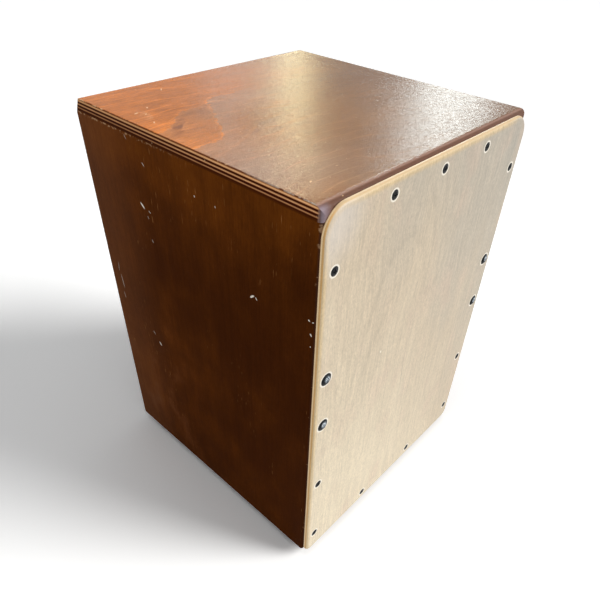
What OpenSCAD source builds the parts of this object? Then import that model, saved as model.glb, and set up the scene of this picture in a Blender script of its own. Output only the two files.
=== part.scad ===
/* [Body] */
// Width of the box, over both side panels
body_w = 300; // [270:1:330]
// Depth of the box without its front plate
body_d = 310; // [280:1:340]
// Height of the box without its feet
body_h = 430; // [390:1:480]
// Thickness of the top panel that the player sits on
top_t = 12; // [9:0.5:12.5]
// Thickness of each side panel
side_t = 9; // [8:0.5:10.5]
// Thickness of the bottom panel
bottom_t = 9; // [9:0.5:12]
// Radius of the top panel's front edge
top_front_r = 7.5; // [3:0.5:9]
// Radius of the top panel's rear edge
top_rear_r = 11; // [4:0.5:12]
// Radius of the box's front bottom edge
bottom_front_r = 8.5; // [3:0.5:8.5]
// Radius of the box's rear bottom edge
bottom_rear_r = 9; // [3:0.5:12]
// Radius of the two rear upright edges
rear_arris_r = 3; // [1:0.5:5]
// Radius of the two front upright edges
front_arris_r = 4; // [1:0.25:6]
// Radius of the two rear corners in the face of the top panel
rear_corner_r = 13; // [8:0.5:16]
// Depth over which those corners run out into the upright edges
rear_corner_h = 15; // [12:1:24]
// Easing of the long edges at the left and right of the box
side_arris_r = 1; // [0.5:0.25:2]

/* [Front plate] */
// Thickness of the playing plate
plate_t = 4; // [3.75:0.25:6]
// How far the plate stays inside each side of the box
plate_side_inset = 0; // [0:0.25:3]
// How far the plate ends below the top of the box
plate_top_drop = 1.5; // [1:0.5:6]
// How far the plate ends above the underside of the box
plate_bottom_rise = 0; // [0:0.25:4]
// Radius of the plate's upper corners
plate_upper_r = 23; // [14:0.5:26]
// Radius of the plate's lower corners
plate_lower_r = 10.5; // [8:0.5:20]
// Rounding of the plate's face along its edges
plate_round = 3; // [1:0.1:3.3]
// Easing of the plate's back along its edges
plate_ease = 0.5; // [0.3:0.1:0.8]

/* [Front plate screws] */
// Distance of the side screws from the side of the box
side_screw_inset = 13; // [12.5:0.25:15]
// Distance of the top screws below the top of the box
top_screw_drop = 15.5; // [14:0.25:18]
// Distance of the bottom screws above the underside of the box
bottom_screw_rise = 12.75; // [11.5:0.25:17]
// Distance of the two outer top screws from the middle
top_screw_x = 71; // [50:0.5:90]
// Distance of the two bottom screws from the middle
bottom_screw_x = 48; // [30:0.5:80]
// Height of the lowest side screws above the underside
low_screw_z = 28; // [26:0.5:50]
// Height of the middle side screws above the underside
mid_screw_z = 120; // [80:0.5:150]
// Distance of the highest side screws below the top of the box
high_screw_drop = 53; // [40:0.5:70]
// Radius of a small screw's head
screw_head_r = 4.2; // [3.6:0.1:5]
// How far a small screw's head stands proud of the plate
screw_head_rise = 0.9; // [0.5:0.1:1.4]
// Radius of a small screw's shank
screw_r = 1.6; // [1.2:0.1:2]
// Length of a small screw below the plate's face
screw_len = 19; // [12:1:20]

/* [Snare bar] */
// Distance of the snare bar's middle below the top of the box
bar_drop = 190.5; // [182:0.5:210]
// Height of the snare bar's face
bar_h = 80; // [74:1:90]
// Thickness of the snare bar
bar_t = 12; // [10:1:18]
// Distance between the two large screws at each end of the bar
bar_screw_gap = 58; // [40:1:62]
// Radius of a large screw's head
bar_head_r = 6.4; // [5:0.1:7]
// Height of a large screw's domed head
bar_head_h = 2.2; // [1.8:0.1:4]
// Radius of a large screw's shank
bar_screw_r = 2.4; // [2:0.1:2.8]
// Length of a large screw below its head
bar_screw_len = 32; // [26:1:33]

/* [Snare wires] */
// Number of coiled wires in each set
wire_count = 10; // [6:1:12]
// Distance between two wires of a set
wire_gap = 4; // [3:0.1:4.4]
// Length of a coiled wire
wire_len = 106; // [90:1:110]
// Outer radius of a coiled wire
coil_r = 1.1; // [0.8:0.05:1.3]
// Radius at the root between two turns
coil_root_r = 0.75; // [0.5:0.05:0.78]
// Distance from one turn to the next
coil_pitch = 2.65; // [2.2:0.05:4]
// Distance of each set's clip from the middle
clip_x = 60; // [45:1:70]
// Outward lean of each set
clip_lean = 12; // [0:1:15]
// Thickness of the clip's sheet steel
clip_sheet = 1; // [0.8:0.1:1.4]
// Height of the clip's screwed leaf
clip_leaf_h = 15; // [13:0.5:18]

/* [Cleats] */
// Width of the cleats that line both openings
cleat_w = 12; // [11:0.5:14]
// Depth of the front cleats
front_cleat_d = 18; // [18:1:20]
// Depth of the rear cleats
rear_cleat_d = 12; // [10:1:18]

/* [Rear panel] */
// Thickness of the rear panel
rear_t = 6; // [4:0.5:9]
// How far the rear panel sits inside the rear edges
rear_set_in = 1; // [0.5:0.25:3]
// Radius of the sound hole
hole_r = 57.5; // [45:0.5:65]
// Distance of the sound hole's centre below the top of the box
hole_drop = 175; // [130:1:230]
// Rounding of the sound hole's rim
hole_round = 2; // [1:0.25:2.5]

/* [Feet] */
// Height of a rubber foot
foot_h = 10; // [6:0.5:16]
// Radius of a foot where it meets the box
foot_top_r = 15; // [12:0.5:18]
// Radius of a foot where it stands
foot_low_r = 12.5; // [10:0.5:15]
// Distance of each foot's axis from the outside of the box
foot_inset = 32; // [24:1:45]
// Radius of the recess that hides the foot's screw
foot_recess_r = 6.5; // [6:0.25:7.5]
// Radius of a foot screw's shank
foot_screw_r = 2; // [1.5:0.1:2.2]

/* [Hidden] */
$fn = 64;

pilot_gap = 0.05;                 // clearance of a shank in its hole
wire_clear = 0.1;                 // the wires' free ends rest this far off the plate
through = 1;                      // how far a cutter runs past a face

// The box stands on its feet, centred over the origin with the screw heads counted in.
base_z = foot_h;
top_z = base_z + body_h;
plate_front_y = -(body_d + plate_t + bar_head_h) / 2 + bar_head_h;
front_y = plate_front_y + plate_t;
rear_y = front_y + body_d;
mid_y = (front_y + rear_y) / 2;
half_w = body_w / 2;
inner_x = half_w - side_t;
inner_top = top_z - top_t;
inner_low = base_z + bottom_t;
cleat_x = inner_x - cleat_w;
cleat_top = inner_top - cleat_w;
cleat_low = inner_low + cleat_w;
front_cleat_y = front_y + front_cleat_d;
rear_panel_y = rear_y - rear_set_in;
rear_inside_y = rear_panel_y - rear_t;
rear_cleat_y = rear_inside_y - rear_cleat_d;
corner_reach = (rear_corner_r - rear_arris_r) * sqrt(2) + rear_arris_r;
corner_slope = (corner_reach - rear_corner_r) / rear_corner_h;

// Screw places on the front plate
side_screw_x = half_w - side_screw_inset;
side_screw_z = [base_z + low_screw_z, base_z + mid_screw_z, top_z - high_screw_drop];
bar_mid_z = top_z - bar_drop;
bar_screw_z = [bar_mid_z - bar_screw_gap / 2, bar_mid_z + bar_screw_gap / 2];
top_screw_z = top_z - top_screw_drop;
bottom_screw_z = base_z + bottom_screw_rise;
screw_hole_r = screw_r + pilot_gap;
bar_hole_r = bar_screw_r + pilot_gap;
screw_cone = screw_head_r - screw_r;      // depth of the countersunk part of a small head

// Snare sets
bar_front_y = front_cleat_y;
bar_top_z = bar_mid_z + bar_h / 2;
clip_w = wire_count * wire_gap + 6;
crimp_h = 5;                              // rolled bar that holds the wires' ends
crimp_t = 3.4;
clip_z = bar_top_z - clip_leaf_h - clip_w / 2 * sin(clip_lean);
crimp_y = bar_front_y - crimp_t / 2;      // middle of the rolled bar
wire_reach = crimp_y - coil_r - wire_clear - front_y;
wire_tilt = asin(wire_reach / (wire_len + crimp_h));
clip_screw_x = clip_w / 2 - 8;
clip_screw_r = 1.4;
clip_head_r = 2.8;
clip_head_h = 1.8;
clip_screw_len = 9;

// Feet
foot_x = half_w - foot_inset;
foot_ys = [front_y + foot_inset, rear_y - foot_inset];
foot_ease = 1.5;
recess_h = foot_h / 2;
washer_t = 1;
washer_r = foot_recess_r - 0.7;
foot_head_r = 3.8;
foot_head_h = 2.4;
foot_bite = bottom_t - 1;                 // how far a foot screw enters the bottom panel

stain = "#5a2d16";
birch = "#e3d3b4";
plain_ply = "#c9a877";
pine = "#d8b98a";
steel = "#b9bcc0";
black = "#1c1d1f";
rubber = "#26272a";

// ---- outlines -------------------------------------------------------------------------

// A rectangle whose corners have their own radii, counted from the low left one anticlockwise
module corner_rect(x0, y0, x1, y1, r) {
    polygon([
        [x0 + r[0], y0], [x1 - r[1], y0], [x1, y0 + r[1]], [x1, y1 - r[2]],
        [x1 - r[2], y1], [x0 + r[3], y1], [x0, y1 - r[3]], [x0, y0 + r[0]]
    ]);
    translate([x0 + r[0], y0 + r[0]]) circle(r[0]);
    translate([x1 - r[1], y0 + r[1]]) circle(r[1]);
    translate([x1 - r[2], y1 - r[2]]) circle(r[2]);
    translate([x0 + r[3], y1 - r[3]]) circle(r[3]);
}

// Extrudes an outline drawn in Y and Z along X, from x0 to x1
module along_x(x0, x1) {
    translate([x0, 0, 0]) rotate([90, 0, 90]) linear_extrude(x1 - x0) children();
}

// Extrudes an outline drawn in X and Z along Y, from y0 to y1
module along_y(y0, y1) {
    translate([0, y1, 0]) rotate([90, 0, 0]) linear_extrude(y1 - y0) children();
}

module block(x0, y0, z0, x1, y1, z1) {
    translate([x0, y0, z0]) cube([x1 - x0, y1 - y0, z1 - z0]);
}

// What is taken off a rear top corner: a cone leaves it round above and its edge's own below
module corner_waste() {
    difference() {
        block(0, 0, -rear_corner_h - through,
            rear_corner_r + through, rear_corner_r + through, through);
        translate([0, 0, -rear_corner_h - through])
            cylinder(
                h = rear_corner_h + 2 * through,
                r1 = corner_reach + corner_slope * through,
                r2 = rear_corner_r - corner_slope * through
            );
    }
}

// The whole box as one eased block, from which each outer panel is cut
module box_form() {
    difference() {
        intersection() {
            translate([0, 0, base_z]) linear_extrude(body_h)
                corner_rect(-half_w, front_y, half_w, rear_y,
                    [front_arris_r, front_arris_r, rear_arris_r, rear_arris_r]);
            along_x(-half_w, half_w)
                corner_rect(front_y, base_z, rear_y, top_z,
                    [bottom_front_r, bottom_rear_r, top_rear_r, top_front_r]);
            along_y(front_y, rear_y)
                corner_rect(-half_w, base_z, half_w, top_z,
                    [side_arris_r, side_arris_r, side_arris_r, side_arris_r]);
        }
        for (flip = [0, 1])
            mirror([flip, 0, 0])
                translate([half_w - rear_corner_r, rear_y - rear_corner_r, top_z]) corner_waste();
    }
}

// Half section of an eased sheet: its edge has one rounding at the back, y = 0, and one at the face
module edge_section(reach, t, back, face) {
    intersection() {
        square([reach, t]);
        union() {
            square([reach - back, t]);
            translate([0, back]) square([reach, t - back]);
            translate([reach - back, back]) circle(back);
        }
        union() {
            square([reach - face, t]);
            square([reach, t - face]);
            translate([reach - face, t - face]) circle(face);
        }
    }
}

// A sheet in X and Y with rounded corners and eased edges, its back at z = 0 and its face at t
module eased_sheet(w, h, t, r, back, face) {
    lap = 1;
    rim = min(r[0], r[1], r[2], r[3], 6);
    core = [for (c = r) max(c - rim, 0.5)];
    linear_extrude(t) corner_rect(-w / 2 + rim, rim, w / 2 - rim, h - rim, core);
    ends = [[-w / 2, 0], [w / 2, 0], [w / 2, h], [-w / 2, h]];
    inward = [[1, 1], [-1, 1], [-1, -1], [1, -1]];
    for (i = [0 : 3]) {
        far = (i + 1) % 4;
        span = i % 2 == 0 ? w : h;
        translate([ends[i][0] + inward[i][0] * r[i], ends[i][1] + inward[i][1] * r[i], 0])
            rotate([0, 0, 180 + 90 * i]) rotate_extrude(angle = 90)
                intersection() {
                    edge_section(r[i], t, back, face);
                    translate([r[i] - rim - (r[i] > rim ? min(lap, r[i] - rim) : 0), 0])
                        square([rim + lap, t]);
                }
        translate([ends[i][0], ends[i][1], 0]) rotate([0, 0, 90 * i])
            translate([r[i], 0, 0]) rotate([90, 0, 90]) linear_extrude(span - r[i] - r[far])
                translate([rim + lap, 0]) mirror([1, 0]) edge_section(rim + lap, t, back, face);
    }
}

// ---- outer panels ---------------------------------------------------------------------

module top_panel() {
    color(stain) intersection() {
        box_form();
        block(-half_w, front_y, inner_top, half_w, rear_y, top_z);
    }
}

module bottom_panel() {
    color(stain) difference() {
        intersection() {
            box_form();
            block(-inner_x, front_y, base_z, inner_x, rear_y, inner_low);
        }
        at_feet() translate([0, 0, base_z - through])
            cylinder(r = foot_screw_r + pilot_gap, h = foot_bite + through + pilot_gap);
    }
}

module side_panel() {
    color(stain) intersection() {
        box_form();
        block(-half_w, front_y, base_z, -inner_x, rear_y, inner_top);
    }
}

module left_side() { side_panel(); }

module right_side() { mirror([1, 0, 0]) side_panel(); }

// Cutter for the sound hole, with both rims rounded over
module hole_cutter() {
    rotate_extrude($fn = 128) {
        translate([0, -through]) square([hole_r, rear_t + 2 * through]);
        for (flip = [0, 1])
            translate([0, flip * rear_t]) mirror([0, flip]) difference() {
                translate([0, -through]) square([hole_r + hole_round, hole_round + through]);
                translate([hole_r + hole_round, hole_round]) circle(hole_round);
            }
    }
}

module rear_panel() {
    color(stain) translate([0, rear_panel_y, 0]) rotate([90, 0, 0]) difference() {
        translate([0, inner_low, 0])
            eased_sheet(2 * inner_x, inner_top - inner_low, rear_t, [2, 2, 2, 2], 0.8, 0.8);
        translate([0, top_z - hole_drop, 0]) hole_cutter();
    }
}

// ---- front plate ----------------------------------------------------------------------

module at_side_screws(side) {
    for (z = side_screw_z) translate([side * side_screw_x, plate_front_y, z]) children();
}

module at_bar_screws(side) {
    for (z = bar_screw_z) translate([side * side_screw_x, plate_front_y, z]) children();
}

module at_top_screws() {
    for (x = [-top_screw_x, 0, top_screw_x])
        translate([x, plate_front_y, top_screw_z]) children();
}

module at_bottom_screws() {
    for (x = [-bottom_screw_x, bottom_screw_x])
        translate([x, plate_front_y, bottom_screw_z]) children();
}

// Countersunk clearance hole for a small screw, along +Y from the plate's face
module countersink() {
    rotate([-90, 0, 0]) {
        translate([0, 0, -through]) cylinder(r = screw_hole_r, h = plate_t + 2 * through);
        cylinder(r1 = screw_head_r + pilot_gap, r2 = screw_hole_r, h = screw_cone);
        translate([0, 0, -through]) cylinder(r = screw_head_r + pilot_gap, h = through);
    }
}

// Round clearance hole of a large screw
module bar_hole(length) {
    rotate([-90, 0, 0]) translate([0, 0, -through]) cylinder(r = bar_hole_r, h = length + through);
}

module front_plate() {
    plate_w = body_w - 2 * plate_side_inset;
    plate_h = body_h - plate_top_drop - plate_bottom_rise;
    color(birch) difference() {
        translate([0, front_y, base_z + plate_bottom_rise]) rotate([90, 0, 0])
            eased_sheet(plate_w, plate_h, plate_t,
                [plate_lower_r, plate_lower_r, plate_upper_r, plate_upper_r],
                plate_ease, plate_round);
        for (side = [-1, 1]) {
            at_side_screws(side) countersink();
            at_bar_screws(side) bar_hole(plate_t + through);
        }
        at_top_screws() countersink();
        at_bottom_screws() countersink();
    }
}

// ---- cleats ---------------------------------------------------------------------------

// Pilot hole of a small screw in a cleat, from the plate's face
module pilot() {
    rotate([-90, 0, 0]) cylinder(r = screw_hole_r, h = screw_len + pilot_gap);
}

module cleat_along_x(y0, y1, z0, z1) { block(-inner_x, y0, z0, inner_x, y1, z1); }

module front_cleat_top() {
    color(pine) difference() {
        cleat_along_x(front_y, front_cleat_y, cleat_top, inner_top);
        at_top_screws() pilot();
    }
}

module front_cleat_bottom() {
    color(pine) difference() {
        cleat_along_x(front_y, front_cleat_y, inner_low, cleat_low);
        at_bottom_screws() pilot();
    }
}

// The side cleats stand between the top and bottom ones; the inner edge is rounded
module side_cleat(y0, y1, r) {
    translate([0, 0, cleat_low]) linear_extrude(cleat_top - cleat_low)
        corner_rect(-inner_x, y0, -cleat_x, y1, r);
}

module front_side_cleat(side) {
    color(pine) difference() {
        mirror([side > 0 ? 1 : 0, 0, 0]) side_cleat(front_y, front_cleat_y, [0.5, 2, 0.5, 0.5]);
        at_side_screws(side) pilot();
        at_bar_screws(side) bar_hole(bar_screw_len + plate_t);
    }
}

module front_cleat_left() { front_side_cleat(-1); }

module front_cleat_right() { front_side_cleat(1); }

module rear_cleat_top() {
    color(pine) cleat_along_x(rear_cleat_y, rear_inside_y, cleat_top, inner_top);
}

module rear_cleat_bottom() {
    color(pine) cleat_along_x(rear_cleat_y, rear_inside_y, inner_low, cleat_low);
}

module rear_cleat_left() {
    color(pine) side_cleat(rear_cleat_y, rear_inside_y, [0.5, 2, 0.5, 0.5]);
}

module rear_cleat_right() {
    color(pine) mirror([1, 0, 0]) side_cleat(rear_cleat_y, rear_inside_y, [0.5, 2, 0.5, 0.5]);
}

// ---- snares ---------------------------------------------------------------------------

// Puts a set's clip on the bar: x runs across the set, z up along it, y = 0 on the bar
module at_clip(side) {
    translate([side * clip_x, bar_front_y, clip_z]) rotate([0, side * clip_lean, 0]) children();
}

module at_clip_screws() {
    for (x = [-clip_screw_x, clip_screw_x]) translate([x, 0, clip_leaf_h / 2]) children();
}

module snare_bar() {
    color(plain_ply) difference() {
        translate([0, bar_front_y + bar_t, bar_mid_z - bar_h / 2]) rotate([90, 0, 0])
            eased_sheet(2 * inner_x, bar_h, bar_t, [3, 3, 3, 3], 1, 1);
        for (side = [-1, 1]) {
            at_bar_screws(side) bar_hole(bar_screw_len + plate_t);
            at_clip(side) at_clip_screws() rotate([-90, 0, 0])
                cylinder(r = clip_screw_r + pilot_gap, h = clip_screw_len + pilot_gap);
        }
    }
}

// Sheet leaf on the bar with a rolled bar above it that grips the ends of the wires
module snare_clip(side) {
    color(steel) at_clip(side) difference() {
        union() {
            translate([-clip_w / 2, -clip_sheet, 0])
                cube([clip_w, clip_sheet, clip_leaf_h + clip_sheet]);
            translate([0, -crimp_t / 2, clip_leaf_h]) rotate([wire_tilt, 0, 0])
                translate([-clip_w / 2, 0, 0]) rotate([90, 0, 90]) linear_extrude(clip_w)
                    corner_rect(-crimp_t / 2, 0, crimp_t / 2, crimp_h, [1, 0.2, 0.6, 0.6]);
        }
        at_clip_screws() translate([0, through, 0]) rotate([90, 0, 0])
            cylinder(r = clip_screw_r + pilot_gap, h = clip_sheet + 2 * through);
    }
}

module snare_clip_left() { snare_clip(-1); }

module snare_clip_right() { snare_clip(1); }

// One wire wound as a close coil: every turn is a ridge on a thin round core
module coiled_wire() {
    turns = floor(wire_len / coil_pitch);
    rotate_extrude($fn = 16) polygon([
        [0, 0],
        for (i = [0 : turns - 1]) each [
            [coil_root_r, i * coil_pitch],
            [coil_r, (i + 0.5) * coil_pitch]
        ],
        [coil_root_r, turns * coil_pitch],
        [0, turns * coil_pitch]
    ]);
}

module snare_wires(side) {
    color(steel) at_clip(side) translate([0, -crimp_t / 2, clip_leaf_h]) rotate([wire_tilt, 0, 0])
        for (i = [0 : wire_count - 1])
            translate([(i - (wire_count - 1) / 2) * wire_gap, 0, crimp_h]) coiled_wire();
}

module snare_wires_left() { snare_wires(-1); }

module snare_wires_right() { snare_wires(1); }

// ---- screws ---------------------------------------------------------------------------

// Low dome of radius r and height h, on y = 0
module dome(r, h) {
    ball = (r * r + h * h) / (2 * h);
    intersection() {
        translate([0, h - ball]) circle(ball, $fn = 96);
        square([r, h]);
    }
}

// Cross recess cut h deep into a head whose crown is at z = top
module cross_recess(reach, slot, top, h) {
    for (turn = [0, 90]) rotate([0, 0, turn])
        translate([-reach, -slot / 2, top - h]) cube([2 * reach, slot, h + through]);
}

// Countersunk screw with a raised head, its shank along +Y from the origin
module small_screw() {
    point = 2 * screw_r;
    color(black) rotate([90, 0, 0]) difference() {
        rotate_extrude() {
            dome(screw_head_r, screw_head_rise);
            polygon([
                [0, 0], [screw_head_r, 0], [screw_r, -screw_cone],
                [screw_r, point - screw_len], [0, -screw_len]
            ]);
        }
        cross_recess(2.3, 0.9, screw_head_rise, 1.8);
    }
}

// Large domed screw that passes through the plate and its cleat into the snare bar
module large_screw() {
    point = 2 * bar_screw_r;
    color(steel) rotate([90, 0, 0]) difference() {
        rotate_extrude() {
            dome(bar_head_r, bar_head_h);
            polygon([
                [0, 0], [bar_screw_r, 0], [bar_screw_r, point - bar_screw_len], [0, -bar_screw_len]
            ]);
        }
        cross_recess(3.1, 1.2, bar_head_h, 2);
    }
}

module plate_screws_top() { at_top_screws() small_screw(); }

module plate_screws_bottom() { at_bottom_screws() small_screw(); }

module plate_screws_left() { at_side_screws(-1) small_screw(); }

module plate_screws_right() { at_side_screws(1) small_screw(); }

module bar_screws_left() { at_bar_screws(-1) large_screw(); }

module bar_screws_right() { at_bar_screws(1) large_screw(); }

// Pan head screw pointing along -Z, its head's seat at z = 0
module pan_screw(head_r, head_h, r, length) {
    difference() {
        rotate_extrude() {
            dome(head_r, head_h);
            polygon([[0, 0], [r, 0], [r, 2 * r - length], [0, -length]]);
        }
        cross_recess(head_r * 0.5, head_r * 0.2, head_h, head_h * 0.6);
    }
}

module snare_clip_screws() {
    color(steel) for (side = [-1, 1]) at_clip(side) at_clip_screws()
        translate([0, -clip_sheet, 0]) rotate([90, 0, 0])
            pan_screw(clip_head_r, clip_head_h, clip_screw_r, clip_screw_len);
}

// ---- feet -----------------------------------------------------------------------------

module at_foot(side, row) { translate([side * foot_x, foot_ys[row], 0]) children(); }

module at_feet() { for (side = [-1, 1], row = [0, 1]) at_foot(side, row) children(); }

// Tapered rubber foot with an eased standing edge and a recess for its screw
module foot(side, row) {
    slope = (foot_top_r - foot_low_r) / foot_h;
    color(rubber) at_foot(side, row) rotate_extrude() difference() {
        union() {
            polygon([
                [0, 0], [foot_low_r - foot_ease, 0], [foot_low_r + slope * foot_ease, foot_ease],
                [foot_top_r, foot_h], [0, foot_h]
            ]);
            translate([foot_low_r - foot_ease, foot_ease]) circle(foot_ease);
        }
        translate([0, -through]) square([foot_recess_r, recess_h + through]);
        translate([0, -through]) square([foot_screw_r + pilot_gap, foot_h + 2 * through]);
    }
}

module foot_front_left() { foot(-1, 0); }

module foot_front_right() { foot(1, 0); }

module foot_rear_left() { foot(-1, 1); }

module foot_rear_right() { foot(1, 1); }

module foot_washers() {
    color(steel) at_feet() translate([0, 0, recess_h - washer_t]) difference() {
        cylinder(r = washer_r, h = washer_t);
        translate([0, 0, -through])
            cylinder(r = foot_screw_r + pilot_gap, h = washer_t + 2 * through);
    }
}

module foot_screws() {
    seat = recess_h - washer_t;
    color(steel) at_feet() translate([0, 0, seat]) mirror([0, 0, 1])
        pan_screw(foot_head_r, foot_head_h, foot_screw_r, base_z - seat + foot_bite);
}

top_panel();
bottom_panel();
left_side();
right_side();
rear_panel();
front_plate();
front_cleat_top();
front_cleat_bottom();
front_cleat_left();
front_cleat_right();
rear_cleat_top();
rear_cleat_bottom();
rear_cleat_left();
rear_cleat_right();
snare_bar();
snare_clip_left();
snare_clip_right();
snare_wires_left();
snare_wires_right();
snare_clip_screws();
plate_screws_top();
plate_screws_bottom();
plate_screws_left();
plate_screws_right();
bar_screws_left();
bar_screws_right();
foot_front_left();
foot_front_right();
foot_rear_left();
foot_rear_right();
foot_washers();
foot_screws();
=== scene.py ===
import math

import bpy
from mathutils import Matrix, Vector


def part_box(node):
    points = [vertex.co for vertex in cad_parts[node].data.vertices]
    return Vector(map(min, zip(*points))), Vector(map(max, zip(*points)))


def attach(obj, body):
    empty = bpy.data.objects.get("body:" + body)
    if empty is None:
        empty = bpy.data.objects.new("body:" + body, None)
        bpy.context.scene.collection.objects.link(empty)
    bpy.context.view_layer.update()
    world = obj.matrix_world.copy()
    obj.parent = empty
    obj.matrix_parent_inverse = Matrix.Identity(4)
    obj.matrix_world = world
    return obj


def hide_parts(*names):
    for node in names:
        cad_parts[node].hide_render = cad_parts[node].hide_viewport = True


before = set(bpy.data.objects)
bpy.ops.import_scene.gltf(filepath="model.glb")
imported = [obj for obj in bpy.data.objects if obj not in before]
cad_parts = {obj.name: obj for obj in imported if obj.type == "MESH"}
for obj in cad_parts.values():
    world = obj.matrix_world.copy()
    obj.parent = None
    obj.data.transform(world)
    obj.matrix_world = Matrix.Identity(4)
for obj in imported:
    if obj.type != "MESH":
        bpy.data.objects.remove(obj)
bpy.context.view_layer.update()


def boxOf(node):  # its low corner, its high corner and its middle
    low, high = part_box(node)
    return low, high, (low + high) / 2


topLow, topHigh, _ = boxOf("top_panel")
plateLow, plateHigh, plateMiddle = boxOf("front_plate")
sideLow, sideHigh, _ = boxOf("left_side")
rearLow, rearHigh, _ = boxOf("rear_panel")
baseLow, baseHigh, _ = boxOf("bottom_panel")
barLow, barHigh, _ = boxOf("snare_bar")
halfWidth = topHigh.x
sideInner = halfWidth - (sideHigh.x - sideLow.x)
boxTop = topHigh.z
boxFoot = sideLow.z
print("frame loaded:", len(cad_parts), "nodes")


class Value:
    def __init__(self, finish, socket):
        self.finish = finish
        self.socket = socket

    def __add__(self, other):
        return self.finish.maths("ADD", self, other)

    def __radd__(self, other):
        return self.finish.maths("ADD", other, self)

    def __sub__(self, other):
        return self.finish.maths("SUBTRACT", self, other)

    def __rsub__(self, other):
        return self.finish.maths("SUBTRACT", other, self)

    def __mul__(self, other):
        return self.finish.maths("MULTIPLY", self, other)

    def __rmul__(self, other):
        return self.finish.maths("MULTIPLY", other, self)

    def __truediv__(self, other):
        return self.finish.maths("DIVIDE", self, other)

    def __pow__(self, other):
        return self.finish.maths("POWER", self, other)

    def __abs__(self):
        return self.finish.maths("ABSOLUTE", self)

    def most(self, other):
        return self.finish.maths("MAXIMUM", self, other)

    def least(self, other):
        return self.finish.maths("MINIMUM", self, other)

    def fraction(self):
        return self.finish.maths("FRACT", self)

    def rise(self, low, high):  # 0 below low, 1 above high, smooth between
        return self.finish.node(
            "ShaderNodeMapRange",
            {"interpolation_type": "SMOOTHSTEP"},
            {"Value": self, "From Min": low, "From Max": high},
        )

    def fall(self, low, high):
        return 1 - self.rise(low, high)


class Finish:
    def __init__(self, name):
        self.material = bpy.data.materials.new(name)
        self.material.use_nodes = True
        self.tree = self.material.node_tree
        self.tree.nodes.clear()
        self.output = self.tree.nodes.new("ShaderNodeOutputMaterial")

    def node(self, kind, settings=None, inputs=None, out=0):
        made = self.tree.nodes.new(kind)
        for name, setting in (settings or {}).items():
            if name == "stops":
                ramp = made.color_ramp
                while len(ramp.elements) < len(setting):
                    ramp.elements.new(1)
                for element, (place, colour) in zip(ramp.elements, setting):
                    element.position = place
                    element.color = (*colour, 1)
            else:
                setattr(made, name, setting)
        for name, given in (inputs or {}).items():
            if isinstance(given, Value):
                self.tree.links.new(given.socket, made.inputs[name])
            elif isinstance(given, tuple) and len(given) == 3 and made.inputs[name].type == "RGBA":
                made.inputs[name].default_value = (*given, 1)
            else:
                made.inputs[name].default_value = given
        return Value(self, made.outputs[out])

    def maths(self, operation, first, second=0.0):
        return self.node("ShaderNodeMath", {"operation": operation}, {0: first, 1: second})

    def split(self, vector):
        made = self.tree.nodes.new("ShaderNodeSeparateXYZ")
        self.tree.links.new(vector.socket, made.inputs[0])
        return [Value(self, made.outputs[i]) for i in range(3)]

    def join(self, x, y, z):
        return self.node("ShaderNodeCombineXYZ", None, {0: x, 1: y, 2: z})

    def place(self):
        return self.split(self.node("ShaderNodeTexCoord", None, None, "Object"))

    def facing(self):
        return self.split(self.node("ShaderNodeTexCoord", None, None, "Normal"))

    def noise(self, vector, scale, detail=2.0, roughness=0.5):
        return self.node(
            "ShaderNodeTexNoise",
            {"noise_dimensions": "3D"},
            {"Vector": vector, "Scale": scale, "Detail": detail, "Roughness": roughness},
        )

    def mix(self, factor, first, second, blend="MIX"):
        made = self.tree.nodes.new("ShaderNodeMix")
        made.data_type = "RGBA"
        made.blend_type = blend
        for number, given in ((0, factor), (6, first), (7, second)):
            if isinstance(given, Value):
                self.tree.links.new(given.socket, made.inputs[number])
            elif number == 0:
                made.inputs[number].default_value = given
            else:
                made.inputs[number].default_value = (*given, 1)
        return Value(self, made.outputs[2])

    def shade(self, colour, strength):  # colour made lighter or darker by a value
        grey = self.join(strength, strength, strength)
        return self.mix(1.0, colour, grey, "MULTIPLY")

    def ramp(self, value, stops):
        return self.node("ShaderNodeValToRGB", {"stops": stops}, {"Fac": value})

    def spot(self, u, v, place, length, width, tilt):  # 1 inside a slanted ellipse, 0 outside
        c, s = math.cos(math.radians(tilt)), math.sin(math.radians(tilt))
        du, dv = u - place[0], v - place[1]
        along = (du * c + dv * s) / (length / 2)
        across = (dv * c - du * s) / (width / 2)
        return (along * along + across * across).fall(0.35, 1.1)

    def apart(self, du, dv):  # distance from two differences
        return (du * du + dv * dv) ** 0.5

    def bump(self, height, distance, strength=1.0):
        return self.node("ShaderNodeBump", None,
                         {"Height": height, "Distance": distance, "Strength": strength})

    def surface(self, inputs):
        return self.node("ShaderNodeBsdfPrincipled", None, inputs)

    def close(self, surface):
        self.tree.links.new(surface.socket, self.output.inputs["Surface"])
        return self.material

    def principled(self, inputs):
        return self.close(self.surface(inputs))


def dress(node, material):
    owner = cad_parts[node]
    owner.data.materials.clear()
    owner.data.materials.append(material)


def colourOf(red, green, blue):  # from screen values of 0 to 255
    return tuple(((c / 255 + 0.055) / 1.055) ** 2.4 if c > 10 else c / 255 / 12.92
                 for c in (red, green, blue))


cameraView = {
    "place": (-0.3992, -0.3600, 0.6021),
    "turn": (50.208, -2.112, -47.656),
    "lens": 32.795,
    "shift": (-0.01636, 0.05932),
}

camera = bpy.data.objects.new("camera", bpy.data.cameras.new("camera"))
bpy.context.scene.collection.objects.link(camera)
camera.location = cameraView["place"]
camera.rotation_euler = [math.radians(a) for a in cameraView["turn"]]
camera.data.sensor_fit = "HORIZONTAL"
camera.data.sensor_width = 36
camera.data.lens = cameraView["lens"]
camera.data.shift_x, camera.data.shift_y = cameraView["shift"]
bpy.context.scene.camera = camera

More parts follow.
